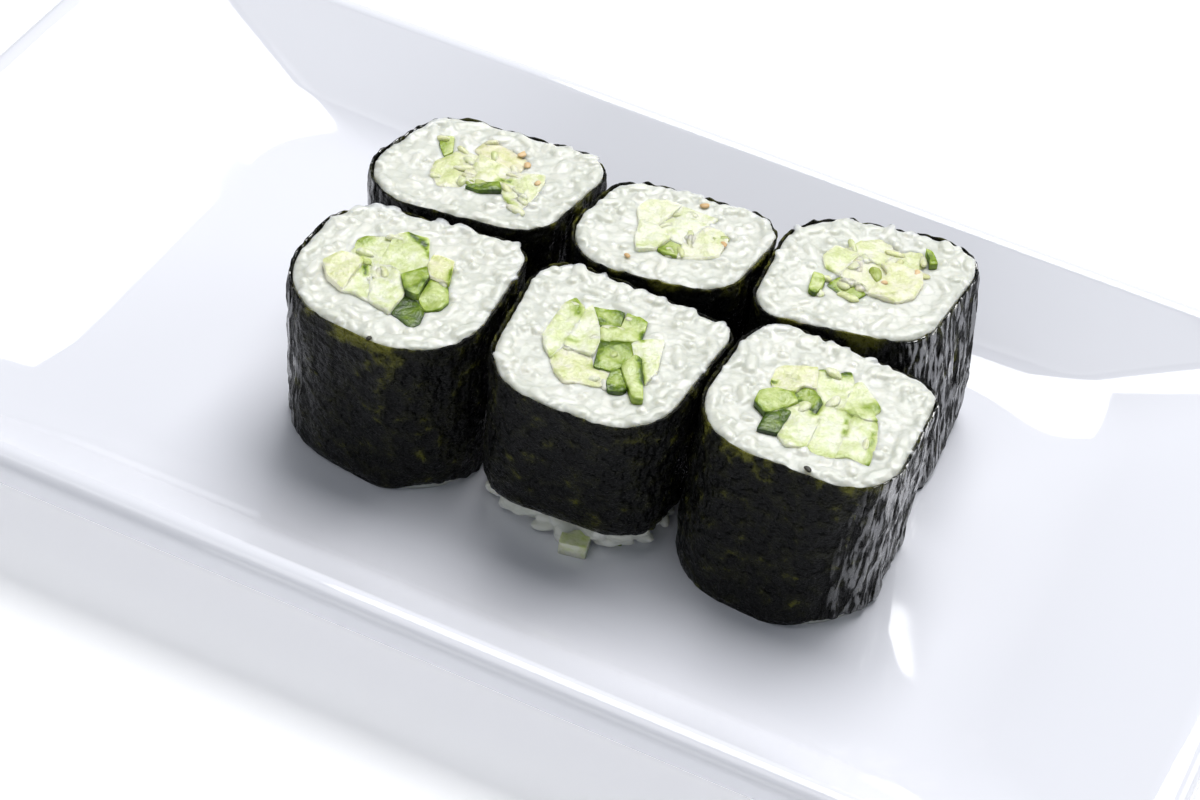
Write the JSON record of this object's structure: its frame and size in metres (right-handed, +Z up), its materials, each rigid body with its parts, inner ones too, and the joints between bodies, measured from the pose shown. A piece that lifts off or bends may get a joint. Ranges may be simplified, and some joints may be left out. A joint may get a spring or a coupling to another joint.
{
  "type": "cucumber maki rolls on a rectangular plate",
  "caption": "Cucumber maki rolls standing cut side up in two rows on a shallow rectangular white porcelain plate, with free space at both ends.",
  "frame": {"origin": "on the table under the middle of the plate", "axes": "+X along the plate's longer side, +Y across the plate from the front row of rolls to the back row, +Z up"},
  "size_m": [0.2194, 0.1248, 0.0371],
  "materials": {
    "porcelain": "gloss",
    "nori": "satin",
    "rice": "satin",
    "cucumber_flesh": "satin",
    "cucumber_skin": "satin"
  },
  "bodies": {
    "root": {"cucumber_back_left_1": "cucumber_skin", "cucumber_back_left_2": "cucumber_flesh", "cucumber_back_left_3": "cucumber_flesh", "cucumber_back_left_4": "cucumber_flesh", "cucumber_back_left_5": "cucumber_skin", "cucumber_back_left_6": "cucumber_flesh", "cucumber_back_middle_1": "cucumber_flesh", "cucumber_back_middle_2": "cucumber_flesh", "cucumber_back_middle_3": "cucumber_flesh", "cucumber_back_middle_4": "cucumber_skin", "cucumber_back_middle_5": "cucumber_flesh", "cucumber_back_right_1": "cucumber_flesh", "cucumber_back_right_2": "cucumber_flesh", "cucumber_back_right_3": "cucumber_flesh", "cucumber_back_right_4": "cucumber_flesh", "cucumber_back_right_5": "cucumber_flesh", "cucumber_back_right_6": "cucumber_skin", "cucumber_back_right_7": "cucumber_flesh", "cucumber_back_right_8": "cucumber_skin", "cucumber_front_left_1": "cucumber_flesh", "cucumber_front_left_2": "cucumber_flesh", "cucumber_front_left_3": "cucumber_flesh", "cucumber_front_left_4": "cucumber_skin", "cucumber_front_left_5": "cucumber_skin", "cucumber_front_left_6": "cucumber_skin", "cucumber_front_left_7": "cucumber_flesh", "cucumber_front_left_8": "cucumber_flesh", "cucumber_front_left_9": "cucumber_flesh", "cucumber_front_middle_1": "cucumber_flesh", "cucumber_front_middle_2": "cucumber_skin", "cucumber_front_middle_3": "cucumber_flesh", "cucumber_front_middle_4": "cucumber_flesh", "cucumber_front_middle_5": "cucumber_skin", "cucumber_front_middle_6": "cucumber_flesh", "cucumber_front_middle_7": "cucumber_skin", "cucumber_front_middle_8": "cucumber_skin", "cucumber_front_middle_9": "cucumber_flesh", "cucumber_front_middle_fallen": "cucumber_flesh", "cucumber_front_right_1": "cucumber_flesh", "cucumber_front_right_2": "cucumber_flesh", "cucumber_front_right_3": "cucumber_skin", "cucumber_front_right_4": "cucumber_flesh", "cucumber_front_right_5": "cucumber_skin", "cucumber_front_right_6": "cucumber_flesh", "cucumber_front_right_7": "cucumber_flesh", "cucumber_front_right_8": "cucumber_flesh", "cucumber_front_right_9": "cucumber_flesh", "nori_back_left": "nori", "nori_back_middle": "nori", "nori_back_right": "nori", "nori_front_left": "nori", "nori_front_middle": "nori", "nori_front_right": "nori", "plate": "porcelain", "rice_back_left": "rice", "rice_back_middle": "rice", "rice_back_right": "rice", "rice_front_left": "rice", "rice_front_middle": "rice", "rice_front_right": "rice"}
  },
  "joints": []
}
